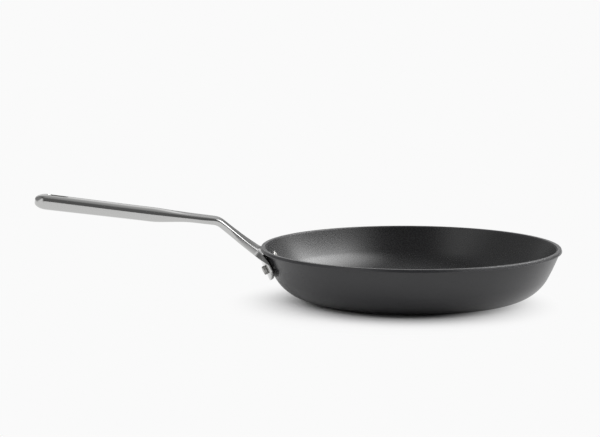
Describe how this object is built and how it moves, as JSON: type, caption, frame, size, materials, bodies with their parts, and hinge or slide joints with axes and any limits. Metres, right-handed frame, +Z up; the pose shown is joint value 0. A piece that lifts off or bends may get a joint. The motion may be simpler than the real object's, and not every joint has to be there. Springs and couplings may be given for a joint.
{
  "type": "frying pan",
  "caption": "Shallow round non-stick frying pan with flared dark anodised walls, a rolled-out lip and a riveted polished steel handle with a hanging slot.",
  "frame": {"origin": "centre of the base's flat underside, on the surface that the pan stands on", "axes": "+Z up out of the bowl, the handle along -X, the part symmetric about the XZ plane"},
  "size_m": [0.5232, 0.3, 0.1035],
  "materials": {
    "anodised_aluminium": "hard anodised, satin dark grey",
    "nonstick_film": "smooth fluoropolymer film, soft sheen",
    "ferritic_steel": "turned, dull",
    "polished_steel": "polished cast stainless steel",
    "rivet_steel": "satin stainless steel"
  },
  "bodies": {
    "root": {"pan_body": "anodised_aluminium", "nonstick_coating": "nonstick_film", "base_plate": "ferritic_steel", "handle": "polished_steel", "rivet_near": "rivet_steel", "rivet_far": "rivet_steel"}
  },
  "joints": []
}
